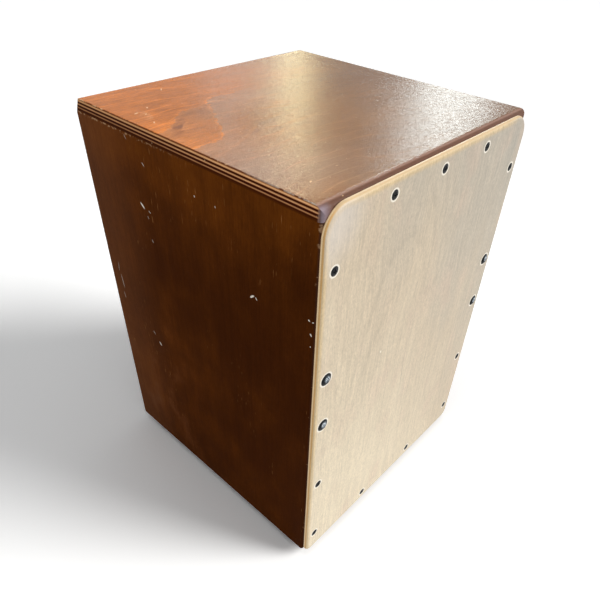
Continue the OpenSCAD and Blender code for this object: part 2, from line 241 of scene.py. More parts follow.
studio = {
    "room": 0.36,
    "sun": {"azimuth": -54, "elevation": 32, "strength": 3.12, "angle": 28},
    "lamps": [
        # name, azimuth from +X towards +Y, elevation, distance,
        # width, height, radiance, colour, whether only gloss shows it
        ("overhead", 180, 86, 0.60, 0.50, 0.50, 1.8, (1.0, 0.98, 0.95), False),
        ("sideFill", 165, 8, 4.0, 2.0, 1.0, 5.0, (1.0, 0.97, 0.93), False),
        ("yellowLow", 43.3, 11.0, 3.5, 0.12, 0.53, 4.5, (1.0, 0.92, 0.45), True),
        ("yellowHigh", 43.3, 21.5, 3.5, 0.12, 0.78, 22.0, (1.0, 0.92, 0.52), True),
        ("yellowGlow", 47.6, 18.5, 3.5, 0.60, 1.8, 1.25, (1.0, 0.97, 0.95), True),
        ("windowStrip", 27.4, 17.5, 3.5, 0.40, 0.75, 10.2, (0.90, 1.0, 0.98), True),
        ("windowHigh", 28.6, 25.0, 3.5, 0.46, 0.60, 21.0, (0.90, 1.0, 0.98), True),
    ],
    "glossFrom": (-0.40, -0.36, 0.28),
}

world = bpy.data.worlds.new("room")
bpy.context.scene.world = world
world.use_nodes = True
world.node_tree.nodes.clear()


def plainlySeen(tree):  # 1 for camera, gloss and transmission rays
    rays = tree.nodes.new("ShaderNodeLightPath")
    total = rays.outputs["Is Camera Ray"]
    for other in ("Is Glossy Ray", "Is Transmission Ray"):
        most = tree.nodes.new("ShaderNodeMath")
        most.operation = "MAXIMUM"
        tree.links.new(total, most.inputs[0])
        tree.links.new(rays.outputs[other], most.inputs[1])
        total = most.outputs[0]
    return total


roomLight = world.node_tree.nodes.new("ShaderNodeBackground")
roomLight.inputs["Color"].default_value = (0.8, 0.8, 0.8, 1)
roomLight.inputs["Strength"].default_value = studio["room"]
backdrop = world.node_tree.nodes.new("ShaderNodeBackground")
backdrop.inputs["Color"].default_value = (1, 1, 1, 1)
choice = world.node_tree.nodes.new("ShaderNodeMixShader")
worldOut = world.node_tree.nodes.new("ShaderNodeOutputWorld")
for source, target in ((plainlySeen(world.node_tree), choice.inputs[0]),
                       (roomLight.outputs[0], choice.inputs[1]),
                       (backdrop.outputs[0], choice.inputs[2]),
                       (choice.outputs[0], worldOut.inputs["Surface"])):
    world.node_tree.links.new(source, target)
bpy.context.scene.view_settings.view_transform = "Standard"


def towards(azimuth, elevation):
    a, e = math.radians(azimuth), math.radians(elevation)
    return Vector((math.cos(a) * math.cos(e), math.sin(a) * math.cos(e), math.sin(e)))


def placeLight(name, light, away, target):
    holder = bpy.data.objects.new(name, light)
    bpy.context.scene.collection.objects.link(holder)
    holder.location = target + away
    holder.rotation_euler = away.to_track_quat("Z", "Y").to_euler()
    return holder


def lamp(name, azimuth, elevation, distance, width, height, radiance, tint, glossOnly):
    light = bpy.data.lights.new(name, "AREA")
    light.shape = "RECTANGLE"
    light.size = width
    light.size_y = height
    light.energy = radiance * math.pi * width * height
    light.color = tint
    target = Vector((0, 0, boxTop if name == "overhead" else plateMiddle.z))
    if glossOnly:
        target = Vector(studio["glossFrom"])
    holder = placeLight(name, light, towards(azimuth, elevation) * distance, target)
    holder.visible_camera = False
    if glossOnly:
        holder.visible_diffuse = False
    else:
        holder.visible_glossy = False


sun = studio["sun"]
sunLight = bpy.data.lights.new("sun", "SUN")
sunLight.energy = sun["strength"]
sunLight.angle = math.radians(sun["angle"])
sunLight.color = (1.0, 0.98, 0.95)
placeLight("sun", sunLight, towards(sun["azimuth"], sun["elevation"]) * 3, Vector((0, 0, 0)))
for settings in studio["lamps"]:
    lamp(*settings)

floorSettings = {"size": 60.0, "light": 0.5, "shown": 1.26, "red": 0.985, "blue": 1.015}
bpy.ops.object.select_all(action="DESELECT")
bpy.ops.mesh.primitive_plane_add(size=floorSettings["size"])
studioFloor = bpy.context.object
studioFloor.name = "studioFloor"
floorFinish = Finish("paleFloor")
seen = Value(floorFinish, plainlySeen(floorFinish.tree))
level = floorSettings["light"] + seen * (floorSettings["shown"] - floorSettings["light"])
floorColour = floorFinish.join(level * floorSettings["red"], level, level * floorSettings["blue"])
floorSurface = floorFinish.node("ShaderNodeBsdfDiffuse", None, {"Color": floorColour})
floorFinish.tree.links.new(floorSurface.socket, floorFinish.output.inputs["Surface"])
studioFloor.data.materials.append(floorFinish.material)
print("studio ready")

stain = {
    "topLight": (0.48, 0.148, 0.026),
    "topWarm": (0.338, 0.106, 0.014),
    "topMiddle": (0.245, 0.106, 0.030),
    "topDark": (0.165, 0.070, 0.022),
    "topGrey": (0.37, 0.175, 0.084),
    "gully": (0.130, 0.036, 0.014),
    # the side colours are the stain darkened by painted shade, darker than the seat's
    "sideLightWithPaintedShade": (0.172, 0.047, 0.005),
    "sideMiddleWithPaintedShade": (0.094, 0.0240, 0.0030),
    "sideDarkWithPaintedShade": (0.054, 0.0128, 0.0020),
    "sideGrey": (0.145, 0.053, 0.022),
    "corner": (0.115, 0.055, 0.036),
    "paintedVeil": (0.345, 0.215, 0.150),
    "rounding": (0.330, 0.200, 0.160),
    "dusky": (0.300, 0.245, 0.290),
    "worn": (0.78, 0.50, 0.28),
    "scuff": (0.62, 0.29, 0.10),
    "arrisPaintedHighlight": (0.80, 0.72, 0.60),
    "bare": (0.66, 0.47, 0.27),
    "bareGrain": (0.52, 0.34, 0.18),
    "plainPly": (0.30, 0.13, 0.05),
}
plyEdge = [  # depth below the face as a share of the panel, and the colour there
    (0.00, (0.20, 0.070, 0.030)), (0.05, (0.20, 0.060, 0.018)), (0.085, (0.40, 0.165, 0.060)),
    (0.13, (0.80, 0.400, 0.170)), (0.175, (1.00, 0.580, 0.290)), (0.220, (0.56, 0.250, 0.095)),
    (0.265, (0.048, 0.006, 0.001)), (0.360, (0.042, 0.005, 0.001)), (0.41, (0.50, 0.240, 0.100)),
    (0.462, (0.88, 0.460, 0.215)), (0.512, (0.14, 0.034, 0.007)), (0.560, (0.038, 0.005, 0.001)),
    (0.655, (0.040, 0.005, 0.001)), (0.70, (0.50, 0.235, 0.100)), (0.732, (0.50, 0.230, 0.095)),
    (0.785, (0.08, 0.018, 0.003)), (0.85, (0.042, 0.006, 0.001)), (0.93, (0.075, 0.018, 0.002)),
]


def rawPly(f, u, v, w):
    grain = f.noise(f.join(u * 20, v * 500, w * 500), 1.0, 3.0, 0.6)
    return f.shade(f.mix(grain, stain["bare"], stain["bareGrain"]), grain * 0.3 + 0.85)


seat = {
    "roughness": 0.155, "specular": 0.06, "peel": 0.00021,  # the lacquer
    "dryRoughness": 0.6, "drySpecular": 0.01,  # edges and worn grains
    "gullies": [((-0.126, 0.030), 0.044, 0.010, 42), ((-0.137, 0.015), 0.022, 0.006, 20)],
    "paintedGlow": ((-0.131, 0.070), 0.030, 0.012, 75),  # each: place, length, width, slant
    "underside": 0.141,  # half the width that stays raw below
    "figure": [  # start and end along X, height in Y, rise, how torn, how strong
        (-0.130, -0.050, -0.020, 0.092, 0.030, 0.85),
        (-0.150, -0.055, -0.045, 0.036, 0.009, 0.35),
        (-0.150, -0.095, 0.024, 0.034, 0.024, 0.40),
        (-0.150, -0.030, -0.072, 0.045, 0.006, 0.25),
        (-0.150, -0.010, -0.105, 0.055, 0.006, 0.16),
    ],
    "chips": [  # x, y, length, width, slant on the seat's face
        (-0.076, 0.123, 0.008, 0.0014, 55), (-0.118, 0.086, 0.004, 0.0018, 60),
        (-0.134, 0.079, 0.006, 0.0024, 20), (-0.136, 0.050, 0.005, 0.0016, 60),
        (-0.129, 0.072, 0.004, 0.0014, 40), (-0.126, -0.120, 0.004, 0.0016, 30),
    ],
}


def topFinish():
    f = Finish("stainedTop")
    x, y, z = f.place()
    n = f.facing()
    spread = f.noise(f.join(x * 5, y * 9, z), 1.0, 3.0, 0.55)
    blotch = f.noise(f.join(x * 18, y * 46, z), 1.0, 4.0, 0.62)
    # lighter towards the left and the rear, darker towards the right and the front: partly the
    # stain's own tone, partly painted light
    tone = x * -3.4 + y * 2.2 + (spread - 0.5) * 0.8 + (blotch - 0.5) * 0.5 + 0.36
    face = f.ramp(tone.rise(-0.15, 1.15), [(0.0, stain["topDark"]), (0.42, stain["topMiddle"]),
                                           (0.70, stain["topWarm"]), (1.0, stain["topLight"])])
    # the veneer's figure: torn-looking steps between its layers, sharp on one side only
    jag = f.noise(f.join(x * 70, y * 210, z), 1.0, 5.0, 0.72) - 0.5
    wave = f.noise(f.join(x * 22, y * 26, z), 1.0, 2.0, 0.5) - 0.5
    leftward = x.fall(-0.09, 0.02)
    for near, far, low, rise, tear, strength in seat["figure"]:
        edge = y - x.rise(near, far) * rise - low + jag * tear + wave * 0.018
        beyond = edge.fall(-0.0022, 0.0008)
        fade = edge.rise(-0.055, 0.0) * x.fall(-0.07, 0.03)
        face = f.mix(beyond * fade * strength, face, stain["topGrey"])
        lip = edge.rise(-0.0010, 0.0004) * edge.fall(0.0006, 0.0050) * x.fall(-0.08, 0.02)
        face = f.shade(face, 1 + lip * strength * 0.60 - beyond * fade * strength * 0.16)
    # flames of darker stain at the left, and one dark gully
    flame = f.noise(f.join(x * 42, y * 150, z), 1.0, 7.0, 0.76)
    flicker = leftward * (y.rise(-0.08, 0.03) * 0.9 + 0.4) + 0.30
    face = f.shade(face, 1 + (flame - 0.5) * flicker)
    # a lighter band along the left edge near the middle: partly painted light
    face = f.shade(face, 1 + x.fall(-0.150, -0.080) * abs(y).fall(0.020, 0.070) * 0.45)
    # a greyer stretch at the front left: a painted reflection, the veil of a broad highlight
    paintedVeil = x.fall(-0.160, -0.020) * abs(y + 0.088).fall(0.0, 0.090) * (flame * 0.4 + 0.9)
    face = f.mix(paintedVeil * 0.9, face, stain["paintedVeil"])
    first, second = seat["gullies"]
    gully = f.spot(x + jag * 0.020, y + jag * 0.012, *first)
    gully = (f.spot(x + jag * 0.016, y + jag * 0.010, *second) + gully).least(1.0)
    face = f.mix(gully * flame.rise(0.40, 0.60) * 0.75, face, stain["gully"])
    # a pale speckled patch in the figure at the left: a painted highlight
    paintedGlow = f.spot(x + jag * 0.010, y, *seat["paintedGlow"])
    face = f.mix(paintedGlow * flame.rise(0.45, 0.65) * 0.30, face, stain["worn"])
    turned = y + x * 0.10 + abs(y - 0.03) * x * 1.2
    fibre = f.noise(f.join(x * 70, turned * 800, z * 800), 1.0, 4.0, 0.65)
    band = f.noise(f.join(x * 12, turned * 120, z), 1.0, 3.0, 0.6)
    pores = f.noise(f.join(x * 180, turned * 1500, z * 1500), 1.0, 1.0, 0.5).rise(0.60, 0.74)
    grit = f.noise(f.join(x * 420, turned * 700, z * 500), 1.0, 3.0, 0.75)
    # thin growth lines that bow round the middle of the seat
    swell = f.noise(f.join(x * 7, y * 16, z), 1.0, 2.0, 0.5) - 0.5
    ringed = turned * 74 + swell * 5.0 + (x * x) * 60
    growth = abs(ringed.fraction() - 0.5).fall(0.0, 0.11)
    growth = growth * spread.rise(0.30, 0.50) * band.rise(0.35, 0.55)
    face = f.shade(face, 1 + growth * (x.fall(-0.04, 0.06) * 0.50 - 0.20))
    weave = (fibre * 0.50 + 0.75) * (band * 0.30 + 0.85) * (grit * 0.50 + 0.75)
    face = f.shade(face, weave * (1 - pores * 0.22))
    depth = (boxTop - z) / (topHigh.z - topLow.z)
    grainOfEdge = f.noise(f.join(x * 500, y * 90, z * 900), 1.0, 3.0, 0.6)
    plies = f.ramp(depth + (grainOfEdge - 0.5) * 0.02, plyEdge)
    plies = f.shade(plies, (grainOfEdge * 0.6 + 0.70) * (1.14 - y.rise(-0.15, 0.10) * 0.30))
    atEdge = abs(n[0]).rise(0.55, 0.85)
    colour = f.mix(atEdge, face, plies)
    # the front rounding: greyer and lighter on its upper part, partly a painted highlight; darker
    # on its front-facing part, partly painted shade of the groove above the plate
    front = n[1] * -1
    rounding = f.shade(stain["rounding"], fibre * 0.4 + 0.8)
    colour = f.mix(front.rise(0.04, 0.30) * 0.75, colour, rounding)
    corner = f.shade(stain["corner"], fibre * 0.6 + 0.8)
    colour = f.mix(front.rise(0.30, 0.56) * 0.92, colour, corner)
    colour = f.mix(front.rise(0.3, 0.8) * x.fall(-0.150, -0.137) * 0.85, colour, stain["dusky"])
    # rear-facing faces of the seat darkened: painted shade
    back = n[1].rise(0.30, 0.70)
    colour = f.mix(back * 0.8, colour, stain["gully"])
    # rubbed arrises, their pale marks partly wear and partly a painted highlight, and a few pale
    # specks on the flat
    rub = f.noise(f.join(x * 90, y * 90, z * 90), 1.0, 3.0, 0.7)
    arris = (abs(n[0]) * abs(n[2])).rise(0.12, 0.45)
    colour = f.mix(arris * rub.fall(0.50, 0.60) * 0.75, colour, stain["gully"])
    colour = f.mix(arris * rub.rise(0.58, 0.66) * 0.9, colour, stain["worn"])
    # a pale line along the side arrises near the front: a painted highlight
    frontPaintedHighlight = arris * y.fall(-0.15, -0.05) * rub.rise(0.40, 0.55)
    colour = f.mix(frontPaintedHighlight * 0.7, colour, stain["arrisPaintedHighlight"])
    speck = f.noise(f.join(x * 260, y * 260, z * 260), 1.0, 1.0, 0.5).rise(0.775, 0.80)
    chips = 0
    for u, v, length, width, tilt in seat["chips"]:
        chips = f.spot(x, y, (u, v), length, width, tilt) + chips
    worn = (speck * x.fall(-0.10, 0.05) * 0.7 + chips).least(1.0)
    colour = f.mix(worn * 0.9, colour, stain["worn"])
    under = (n[2] * -1).rise(0.5, 0.9) * (seat["underside"] - abs(x)).rise(0.0, 0.0005)
    colour = f.mix(under, colour, rawPly(f, x, y, z))
    peel = f.noise(f.join(x * 330, turned * 520, z * 400), 1.0, 3.0, 0.75)
    height = fibre * 0.20 - pores * 0.25 + peel
    lacquer = f.surface({
        "Base Color": colour,
        "Roughness": seat["roughness"] + spread * 0.05 + fibre * 0.05 + growth * 0.06,
        "Specular IOR Level": seat["specular"],
        "Normal": f.bump(height, seat["peel"], 1.0),
    })
    dry = f.surface({
        "Base Color": colour,
        "Roughness": seat["dryRoughness"],
        "Specular IOR Level": seat["drySpecular"],
        "Normal": f.bump(grainOfEdge, 0.0002, 0.6),
    })
    speckle = f.noise(f.join(x * 300, turned * 330, z * 300), 1.0, 3.0, 0.9)
    speckle = speckle.rise(0.44, 0.60) * 0.46
    dull = (atEdge + (n[2] * -1).rise(0.2, 0.5) + speckle).least(1.0)
    return f.close(f.node("ShaderNodeMixShader", None, {0: dull, 1: lacquer, 2: dry}))


sidePanel = {
    "roughness": 0.42, "specular": 0.004, "bump": 0.00012, "bareWood": (0.96, 0.90, 0.80),
    "leftChips": [  # y, z, length, width, slant on the left side, how bare
        (0.0675, 0.362, 0.0085, 0.0024, 40, 1.0), (0.057, 0.359, 0.004, 0.0014, 30, 0.5),
        (0.061, 0.352, 0.004, 0.0018, 60, 0.25), (0.060, 0.327, 0.004, 0.0022, 60, 0.25),
        (-0.081, 0.333, 0.007, 0.0024, 140, 1.0), (-0.086, 0.333, 0.003, 0.0014, 60, 0.9),
        (0.0555, 0.4055, 0.005, 0.0009, 45, 0.8), (0.0775, 0.424, 0.005, 0.0009, 55, 0.4),
        (-0.015, 0.400, 0.002, 0.0014, 90, 0.8), (-0.041, 0.400, 0.002, 0.0012, 90, 0.6),
        (0.089, 0.195, 0.006, 0.0011, 50, 0.5), (0.080, 0.1835, 0.006, 0.0018, 50, 1.0),
        (0.140, 0.262, 0.014, 0.0012, 96, 0.30), (0.138, 0.243, 0.020, 0.0018, 84, 0.35),
        (0.140, 0.223, 0.010, 0.0016, 80, 0.28),
        (-0.145, 0.343, 0.0022, 0.0018, 0, 1.0), (-0.149, 0.343, 0.002, 0.0016, 0, 1.0),
        (-0.1475, 0.330, 0.003, 0.0018, 60, 1.0), (-0.1475, 0.318, 0.0016, 0.0014, 60, 0.9),
    ],
    "rightChips": [
        (-0.040, 0.300, 0.009, 0.0014, 60, 0.9), (0.110, 0.210, 0.012, 0.0013, 100, 0.4),
        (-0.120, 0.140, 0.006, 0.0016, 40, 0.8), (0.030, 0.120, 0.005, 0.0012, 120, 0.5),
        (-0.146, 0.330, 0.003, 0.0018, 90, 1.0), (0.070, 0.380, 0.010, 0.0010, 45, 0.5),
    ],
}


def sideFinish(name, chipList, seed):
    f = Finish(name)
    x, y, z = f.place()
    n = f.facing()
    broad = f.noise(f.join(x, y * 7 + seed, z * 5), 1.0, 3.0, 0.6)
    cloud = f.noise(f.join(x, y * 30 + seed, z * 20), 1.0, 4.0, 0.6)
    height = (z - boxFoot) / (boxTop - boxFoot)
    # the side's tone, on colours darkened throughout by painted shade
    tone = height.rise(0.72, 1.0) * 0.42 + y * 0.9 + 0.28
    tone = tone + (broad - 0.5) * 1.5 + (cloud - 0.5) * 0.9
    face = f.ramp(tone.rise(-0.1, 1.1), [(0.0, stain["sideDarkWithPaintedShade"]), (0.45, stain["sideMiddleWithPaintedShade"]),
                                         (1.0, stain["sideLightWithPaintedShade"])])
    lowPatch = cloud.rise(0.5, 0.75) * height.fall(0.2, 0.7) * y.rise(0.0, 0.08) * 0.5
    greyed = y.rise(0.05, 0.155) * 0.55 + lowPatch
    face = f.mix(greyed.least(1.0), face, stain["sideGrey"])
    fibre = f.noise(f.join(x * 900, y * 700, z * 36 + seed), 1.0, 4.0, 0.68)
    streak = f.noise(f.join(x, y * 170 + seed, z * 9), 1.0, 3.0, 0.6)
    grit = f.noise(f.join(x * 500, y * 520, z * 170 + seed), 1.0, 3.0, 0.75)
    face = f.shade(face, (fibre * 0.66 + 0.66) * (streak * 0.42 + 0.78) * (grit * 0.60 + 0.70))
    # fine rubbed dashes along the grain, thickest below the seat
    hair = f.noise(f.join(x, y * 560 + seed, z * 75), 1.0, 2.0, 0.5).rise(0.66, 0.76)
    patch = f.noise(f.join(x, y * 22 + seed, z * 9), 1.0, 2.0, 0.5)
    patch = (patch + height.rise(0.80, 1.0) * 0.10).rise(0.50, 0.66)
    flat = abs(n[0]).rise(0.9, 0.99)
    gap = height.rise(0.966, 0.970) * height.fall(0.973, 0.978) * y.rise(-0.02, 0.10)
    gap = gap * f.noise(f.join(x, y * 300, z * 300), 1.0, 2.0, 0.6).rise(0.50, 0.62)
    ragged = f.noise(f.join(x * 900, y * 900, z * 900), 1.0, 2.0, 0.6) - 0.5
    yy, zz = y + ragged * 0.0016, z + ragged * 0.0016
    chips = 0
    for u, v, length, width, tilt, bare in chipList:
        chips = f.spot(yy, zz, (u, v), length, width, tilt) * bare + chips
    outside = abs(x).rise(halfWidth - 0.002, halfWidth - 0.001)
    chips = (chips * outside).least(1.0)
    # darker front-facing faces: partly the stained edge, partly painted shade of the gap beside the
    # plate
    front = (n[1] * -1).rise(0.35, 0.8)
    colour = f.mix(front, face, f.shade(stain["corner"], fibre * 0.4 + 0.5))
    # pale marks along the front arrises: partly wear, partly a painted highlight
    rub = f.noise(f.join(x * 70, y * 70, z * 120 + seed), 1.0, 3.0, 0.7)
    arris = (abs(n[0]) * abs(n[1])).rise(0.16, 0.42)
    colour = f.mix(arris * rub.rise(0.60, 0.72) * 0.5, colour, stain["worn"])
    colour = f.mix(hair * patch * flat * 0.30, colour, stain["scuff"])
    colour = f.mix(gap * 0.5, colour, stain["worn"])
    colour = f.mix(chips, colour, sidePanel["bareWood"])
    inner = (abs(x) * -1).rise(-sideInner - 0.0005, -sideInner + 0.0005)
    colour = f.mix(inner, colour, rawPly(f, z, y, x))
    return f.principled({
        "Base Color": colour,
        "Roughness": sidePanel["roughness"] + cloud * 0.12 + chips * 0.2,
        "Specular IOR Level": sidePanel["specular"],
        "Normal": f.bump(fibre * 0.5 - chips * 1.2 + cloud * 0.3, sidePanel["bump"], 0.7),
    })


def plainStain(name, along, inward, faces, seed):
    # along is the grain's axis and inward the one through the sheet,
    # whose raw and stained faces lie at the two places in faces
    f = Finish(name)
    p, n = f.place(), f.facing()
    stretch = [700.0, 700.0, 700.0]
    stretch[along] = 16.0
    fibre = f.noise(f.join(*[p[i] * stretch[i] + seed for i in range(3)]), 1.0, 4.0, 0.65)
    slow = [24.0, 24.0, 24.0]
    slow[along] = 3.5
    broad = f.noise(f.join(*[p[i] * slow[i] + seed for i in range(3)]), 1.0, 4.0, 0.6)
    tide = f.noise(f.join(*[p[i] * slow[i] * 7 + seed for i in range(3)]), 1.0, 3.0, 0.6)
    # rear and bottom take the side's colours, with their painted shade
    face = f.ramp((broad * 0.8 + tide * 0.4).rise(0.30, 1.05),
                  [(0.0, stain["sideDarkWithPaintedShade"]), (0.5, stain["sideMiddleWithPaintedShade"]), (1.0, stain["sideLightWithPaintedShade"])])
    face = f.shade(face, (fibre * 0.6 + 0.75) * (tide * 0.3 + 0.9))
    depth = abs(p[inward] - faces[0]) / abs(faces[1] - faces[0])
    layers = (depth * 2.5).fraction()
    dark = layers.rise(0.42, 0.5) * layers.fall(0.92, 1.0)
    plies = f.mix(dark, stain["plainPly"], stain["sideDarkWithPaintedShade"])
    edge = abs(n[inward]).fall(0.45, 0.75)
    colour = f.mix(edge, face, f.shade(plies, fibre * 0.6 + 0.7))
    raw = rawPly(f, p[along], p[inward], p[3 - along - inward])
    colour = f.mix(depth.fall(0.02, 0.05), colour, raw)
    return f.principled({
        "Base Color": colour,
        "Roughness": 0.40 + broad * 0.14,
        "Specular IOR Level": 0.08,
        "Normal": f.bump(fibre, 0.00012, 0.6),
    })


dress("top_panel", topFinish())
dress("left_side", sideFinish("stainedLeft", sidePanel["leftChips"], 0.0))
dress("right_side", sideFinish("stainedRight", sidePanel["rightChips"], 13.7))
dress("rear_panel", plainStain("stainedRear", 2, 1, (rearLow.y, rearHigh.y), 5.3))
dress("bottom_panel", plainStain("stainedBottom", 0, 2, (baseHigh.z, baseLow.z), 2.1))
print("stained panels done")


birch = {
    "pale": (0.745, 0.648, 0.484),
    "warm": (0.60, 0.500, 0.370),
    "cool": (0.435, 0.400, 0.340),
    "blush": (0.62, 0.480, 0.370),
    "ring": (0.93, 0.880, 0.780),
    "crest": (0.66, 0.475, 0.270),
    "border": (0.64, 0.485, 0.270),
    "paintedSheen": (0.78, 0.76, 0.77),
    "rearFace": (0.78, 0.560, 0.330),
    "rim": (0.46, 0.215, 0.080),
    "back": (1.00, 0.765, 0.450),
    "edge": (0.75, 0.445, 0.174),
    "lip": (0.89, 0.790, 0.540),
}
plate = {
    "cornerRadius": 0.023,
    "border": (0.0026, 0.0068),  # how far in the golden border is whole and gone
    "paintedSheenFrom": (-0.143, 0.429),
    "paintedSheenReach": (0.006, 0.052),
    "crack": ((-0.0065, 0.203), 0.0010, 0.066, 0),  # place, length, width, slant
    "scar": ((-0.056, 0.259), 0.0022, 0.0035, 0),
    "rings": [  # screw heads, then where the pale ring round them is whole and gone
        (("plate_screws_right", "plate_screws_top", "plate_screws_bottom"), 0.0052, 0.0062),
        (("bar_screws_right",), 0.0074, 0.0084),
    ],
    "roughness": 0.40,
    "specular": 0.28,
    "bump": 0.00008,
}


headRise = 0.0002  # heads are what stands this close to the plate's face, or before it
headSpan = 0.014  # more than one head is wide


def headPlaces(*nodes):  # centres of the screw heads, one for each mirrored pair
    found = []
    for node in nodes:
        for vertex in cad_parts[node].data.vertices:
            at = vertex.co
            if at.y > plateLow.y + headRise:
                continue
            here = (abs(at.x), at.z)
            group = next((g for g in found if math.dist(here, g[0]) < headSpan), None)
            if group:
                group.append(here)
            else:
                found.append([here])
    centres = []
    for group in found:
        xs, zs = [c[0] for c in group], [c[1] for c in group]
        middle = 0 if min(xs) < 0.001 else (min(xs) + max(xs)) / 2
        centres.append((middle, (min(zs) + max(zs)) / 2))
    return centres


def birchFinish():
    f = Finish("birchPlate")
    x, y, z = f.place()
    n = f.facing()
    height = (z - plateLow.z) / (plateHigh.z - plateLow.z)
    broad = f.noise(f.join(x * 14, y, z * 4), 1.0, 3.0, 0.5)
    # paler towards the bottom left, cooler and darker towards the top right: painted light
    tone = height * 0.55 + x * 1.5 + (broad - 0.5) * 0.5 + 0.16
    face = f.ramp(tone.rise(-0.1, 1.1),
                  [(0.0, birch["pale"]), (0.5, birch["warm"]), (0.92, birch["cool"])])
    blush = f.noise(f.join(x * 30 + 4.0, y, z * 13), 1.0, 3.0, 0.55).rise(0.50, 0.72)
    face = f.mix(blush * 0.40, face, birch["blush"])
    # faint arches of the veneer's figure, and one that points down
    wander = f.noise(f.join(x * 16, y, z * 8), 1.0, 3.0, 0.55) - 0.5
    off = x + 0.040 + wander * 0.03
    arch = z + off * off * 40 + wander * 0.10
    ring = (arch / 0.062).fraction()
    shown = f.noise(f.join(x * 9, y, z * 6), 1.0, 1.0).rise(0.4, 0.7)
    line = ring.rise(0.0, 0.12) * ring.fall(0.12, 0.6) * shown
    drop = x - 0.017 + wander * 0.012
    vee = z - drop * drop * 95 - 0.292 + wander * 0.02
    pointed = vee.rise(-0.003, 0.0) * vee.fall(0.0, 0.016) * z.fall(0.30, 0.42) * 0.7
    line = (pointed + line).least(1.1)
    lean = x + (z - 0.22) * wander * 0.25
    fibre = f.noise(f.join(lean * 640, y * 640, z * 14), 1.0, 4.0, 0.65)
    fleck = f.noise(f.join(lean * 760, y * 760, z * 380), 1.0, 2.0, 0.75)
    knot = f.noise(f.join(lean * 260, y * 260, z * 90), 1.0, 2.0, 0.6)
    pores = f.noise(f.join(lean * 1500, y * 1500, z * 95), 1.0, 1.0, 0.5).rise(0.62, 0.76)
    weave = (fibre * 0.60 + 0.70) * (fleck * 0.60 + 0.70) * (knot * 0.18 + 0.91)
    face = f.shade(face, weave * (1 - line * 0.075) * (1 - pores * 0.12))
    flat = (n[1] * -1).rise(0.93, 0.99)
    # golden border, and a painted sheen at the upper left corner
    corner = plate["cornerRadius"]
    border = corner - f.apart((abs(x) - (plateHigh.x - corner)).most(0.0),
                              (z - (plateHigh.z - corner)).most(0.0))
    border = border.fall(*plate["border"]) * x.fall(0.10, 0.14) * 0.80
    face = f.mix(border, face, f.shade(birch["border"], weave))
    # a whitish patch at the upper left corner: a painted reflection
    paintedSheenX, paintedSheenZ = plate["paintedSheenFrom"]
    toCorner = f.apart(x - paintedSheenX, z - paintedSheenZ) + wander * 0.02
    face = f.mix(toCorner.fall(*plate["paintedSheenReach"]) * 0.34, face, birch["paintedSheen"])
    # pale rings round the heads, one hair crack and one scar
    rings = 0
    for nodes, whole, gone in plate["rings"]:
        for cx, cz in headPlaces(*nodes):
            rings = f.apart(abs(x) - cx, z - cz).fall(whole, gone) + rings
    face = f.mix((rings * flat).least(1.0) * 0.85, face, birch["ring"])
    crack = f.spot(x + wander * 0.004 + (z - 0.2) * 0.05, z, *plate["crack"]) * flat
    face = f.shade(face, 1 - crack * 0.35)
    face = f.mix(f.spot(x, z, *plate["scar"]) * 0.8, face, birch["ring"])
    depth = (y - plateLow.y) / (plateHigh.y - plateLow.y)
    grainOfEdge = f.noise(f.join(x * 90, y * 900, z * 90), 1.0, 3.0, 0.6)
    ticks = f.noise(f.join(x * 60, y * 60, z * 1100), 1.0, 2.0, 0.5)
    # edge colours lighter than the wood's own: partly painted light on the side edges that lie in
    # shade
    plies = f.ramp(depth + (grainOfEdge - 0.5) * 0.06,
                   [(0.0, birch["lip"]), (0.10, birch["lip"]), (0.24, birch["edge"]),
                    (0.50, birch["edge"]), (0.62, birch["back"]), (0.80, birch["back"]),
                    (0.90, birch["rim"]), (1.0, birch["rim"])])
    plies = f.shade(plies, ticks * 0.24 + 0.88)
    crest = f.shade(birch["crest"], depth.rise(0.70, 0.95) * 0.25 + knot * 0.2 + 0.82)
    plies = f.mix(abs(n[0]).rise(0.30, 0.70), crest, plies)
    edge = (1 - abs(n[1])).rise(0.10, 0.40)
    face = f.mix(n[1].rise(0.0, 0.2), face, f.shade(birch["rearFace"], weave))
    # a thin darker rim where the plate meets the sides: partly painted shade of the gap
    rim = abs(x).rise(halfWidth - 0.0015, halfWidth - 0.0005) * n[1].rise(0.0, 0.3)
    face = f.mix(rim, face, birch["rim"])
    colour = f.mix(edge * n[1].fall(0.2, 0.4), face, f.shade(plies, grainOfEdge * 0.2 + 0.9))
    return f.principled({
        "Base Color": colour,
        "Roughness": plate["roughness"] + broad * 0.10,
        "Specular IOR Level": plate["specular"],
        "Normal": f.bump(fibre * 0.5 + fleck * 0.4 - pores * 0.3, plate["bump"], 0.6),
    })


dress("front_plate", birchFinish())
print("playing plate done")


def rawWood(name, along, tint):
    f = Finish(name)
    p = f.place()
    stretch = [600.0, 600.0, 600.0]
    stretch[along] = 20.0
    grain = f.noise(f.join(*[p[i] * stretch[i] for i in range(3)]), 1.0, 3.0, 0.6)
    rings = f.noise(f.join(*[p[i] * stretch[i] * 0.15 for i in range(3)]), 1.0, 2.0, 0.5)
    colour = f.shade(f.mix(rings, tint, tuple(c * 0.7 for c in tint)), grain * 0.4 + 0.8)
    return f.principled({"Base Color": colour, "Roughness": 0.75 + grain * 0.1,
                         "Normal": f.bump(grain, 0.0002, 0.6)})


pineTint = colourOf(222, 190, 140)
alongX = rawWood("cleatAlongX", 0, pineTint)
alongZ = rawWood("cleatAlongZ", 2, pineTint)
for end in ("front", "rear"):
    dress(end + "_cleat_top", alongX)
    dress(end + "_cleat_bottom", alongX)
    dress(end + "_cleat_left", alongZ)
    dress(end + "_cleat_right", alongZ)
dress("snare_bar", rawWood("barPly", 0, colourOf(205, 170, 122)))


